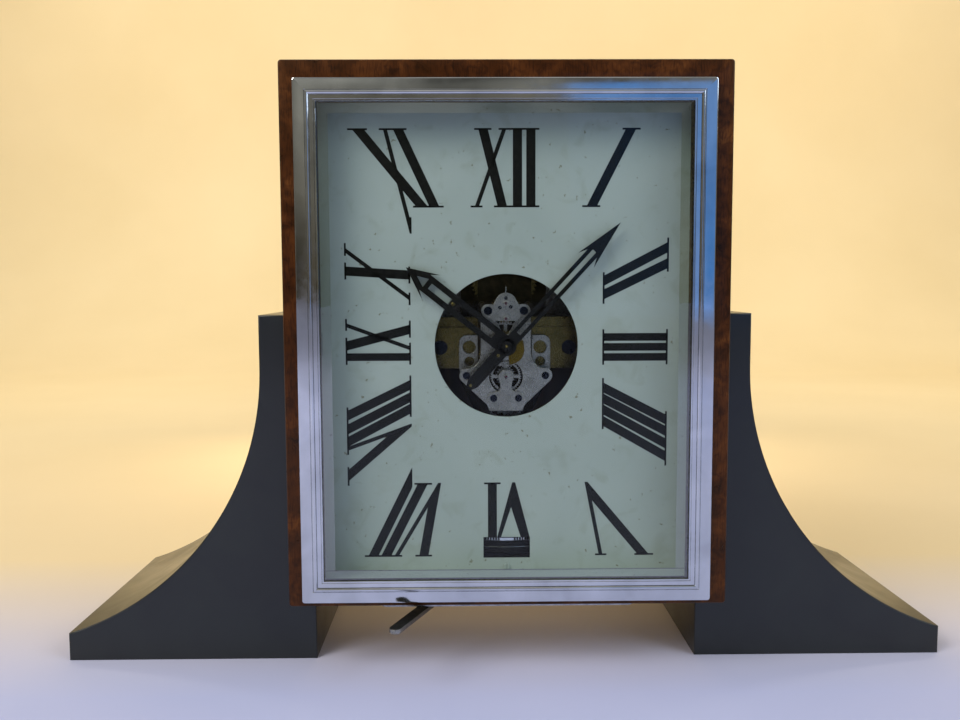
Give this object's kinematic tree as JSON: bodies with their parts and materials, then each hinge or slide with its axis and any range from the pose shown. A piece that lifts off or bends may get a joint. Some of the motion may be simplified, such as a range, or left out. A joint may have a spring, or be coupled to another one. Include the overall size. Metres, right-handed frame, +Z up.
{
  "type": "mantel clock",
  "caption": "Mantel clock: veneered rectangular case between two curved lacquered brackets, hinged glazed door, aperture dial, torsion-pendulum movement and lock lever.",
  "frame": {"origin": "middle of the footprint, on the surface that the brackets stand on", "axes": "+X to the right seen from the front, +Y from the dial towards the back panel, +Z up"},
  "size_m": [0.4732, 0.19, 0.3125],
  "materials": {
    "walnut": "burr walnut veneer under gloss lacquer",
    "panel": "plain stained wood, satin",
    "lacquer": "black lacquer on wood, semi-gloss",
    "chrome": "polished chrome plate",
    "glass": "clear bevelled plate glass, faint green",
    "dial": "silvered, matt, lightly aged",
    "hand_black": "black lacquer",
    "nickel": "nickel plated, fine grained",
    "brass": "gilt brass, satin",
    "blued": "blued steel, polished",
    "steel": "bright steel"
  },
  "bodies": {
    "case": {"case_shell": "walnut", "back_panel": "panel", "back_screw_1": "brass", "back_screw_2": "brass", "back_screw_3": "brass", "back_screw_4": "brass", "dial_batten_top": "panel", "dial_batten_bottom": "panel", "bracket_left": "lacquer", "bracket_right": "lacquer", "hinge_upper": "steel", "hinge_lower": "steel", "hinge_pin_upper": "steel", "hinge_pin_lower": "steel", "catch_block": "steel", "dial_plate": "dial", "dial_screw_top": "blued", "dial_screw_bottom": "blued", "front_plate": "nickel", "upper_bridge": "nickel", "lower_cock": "nickel", "main_plate": "nickel", "back_plate": "brass", "frame_arm_left": "brass", "frame_arm_right": "brass", "arm_screw_left": "blued", "arm_screw_right": "blued", "frame_column_left": "brass", "frame_column_right": "brass", "base_plate": "brass", "drum_yoke": "brass", "suspension_bracket": "brass", "lever_stud": "steel", "under_plate": "steel"},
    "door": {"door_frame": "chrome", "door_glass": "glass", "glass_retainer": "brass", "catch_stud": "steel"},
    "minutes": {"minute_arbor": "steel", "centre_wheel": "nickel", "minute_hand": "hand_black", "hand_nut": "steel"},
    "hours": {"hour_wheel": "brass", "hour_hand": "hand_black"},
    "motion_work": {"minute_wheel": "brass"},
    "third": {"third_wheel": "nickel"},
    "escape": {"escape_wheel": "steel"},
    "pallets": {"pallet_fork": "steel"},
    "intermediate": {"intermediate_wheel": "brass"},
    "spring_barrel": {"barrel": "brass"},
    "holding_click": {"click": "steel"},
    "drum": {"winding_drum": "nickel", "drum_cover": "nickel", "expansion_tube": "glass"},
    "pawl": {"drum_pawl": "steel"},
    "pendulum": {"pendulum_ring": "brass", "pendulum_rod": "brass", "suspension_wire": "steel"},
    "lever": {"lock_lever": "nickel"},
    "plunger": {"lock_plunger": "steel"}
  },
  "joints": [
    {"name": "door_hinge", "type": "hinge", "parent": "case", "child": "door", "pos_m": [0.1018, -0.0702, 0.1718], "axis": [0, 0, 1], "range_deg": [0, 100]},
    {"name": "minute_turn", "type": "hinge", "parent": "case", "child": "minutes", "pos_m": [0, -0.045, 0.1705], "axis": [0, 1, 0], "continuous": true},
    {"name": "hour_turn", "type": "hinge", "parent": "case", "child": "hours", "pos_m": [0, -0.045, 0.1705], "axis": [0, 1, 0], "continuous": true},
    {"name": "motion_turn", "type": "hinge", "parent": "case", "child": "motion_work", "pos_m": [-0.00737, -0.045, 0.16534], "axis": [0, 1, 0], "continuous": true},
    {"name": "third_turn", "type": "hinge", "parent": "case", "child": "third", "pos_m": [0, -0.045, 0.1537], "axis": [0, 1, 0], "continuous": true},
    {"name": "escape_turn", "type": "hinge", "parent": "case", "child": "escape", "pos_m": [0, -0.04, 0.1407], "axis": [0, 1, 0], "continuous": true},
    {"name": "pallet_rock", "type": "hinge", "parent": "case", "child": "pallets", "pos_m": [0, -0.038, 0.1282], "axis": [0, 1, 0], "range_deg": [-2.5, 2.5]},
    {"name": "intermediate_turn", "type": "hinge", "parent": "case", "child": "intermediate", "pos_m": [0, -0.04, 0.18425], "axis": [0, 1, 0], "continuous": true},
    {"name": "barrel_turn", "type": "hinge", "parent": "case", "child": "spring_barrel", "pos_m": [0, -0.02, 0.20585], "axis": [0, 1, 0], "continuous": true},
    {"name": "click_lift", "type": "hinge", "parent": "case", "child": "holding_click", "pos_m": [0.0135, -0.008, 0.19585], "axis": [0, 1, 0], "range_deg": [0, 10]},
    {"name": "drum_roll", "type": "hinge", "parent": "case", "child": "drum", "pos_m": [0, 0.046, 0.20585], "axis": [0, 1, 0], "range_deg": [-15, 15]},
    {"name": "pawl_lift", "type": "hinge", "parent": "drum", "child": "pawl", "pos_m": [0, -0.008, 0.21635], "axis": [0, 1, 0], "range_deg": [-10, 0]},
    {"name": "pendulum_twist", "type": "hinge", "parent": "case", "child": "pendulum", "pos_m": [0, 0.004, 0.0635], "axis": [0, 0, 1], "range_deg": [-270, 270]},
    {"name": "lever_swing", "type": "hinge", "parent": "case", "child": "lever", "pos_m": [-0.0133, 0.0105, 0.0341], "axis": [0, 0, 1], "range_deg": [0, 45]},
    {"name": "plunger_lift", "type": "slide", "parent": "case", "child": "plunger", "axis": [0, 0, 1], "range_m": [-0.0015, 0]}
  ],
  "couplings": [
    {"joint": "hour_turn", "follows": "minute_turn", "ratio": 0.083333},
    {"joint": "motion_turn", "follows": "minute_turn", "ratio": -0.33333},
    {"joint": "third_turn", "follows": "minute_turn", "ratio": -2.5},
    {"joint": "escape_turn", "follows": "minute_turn", "ratio": 4},
    {"joint": "intermediate_turn", "follows": "minute_turn", "ratio": -0.25},
    {"joint": "barrel_turn", "follows": "minute_turn", "ratio": 0.05},
    {"joint": "plunger_lift", "follows": "lever_swing", "m_per_rad": -0.0019}
  ]
}
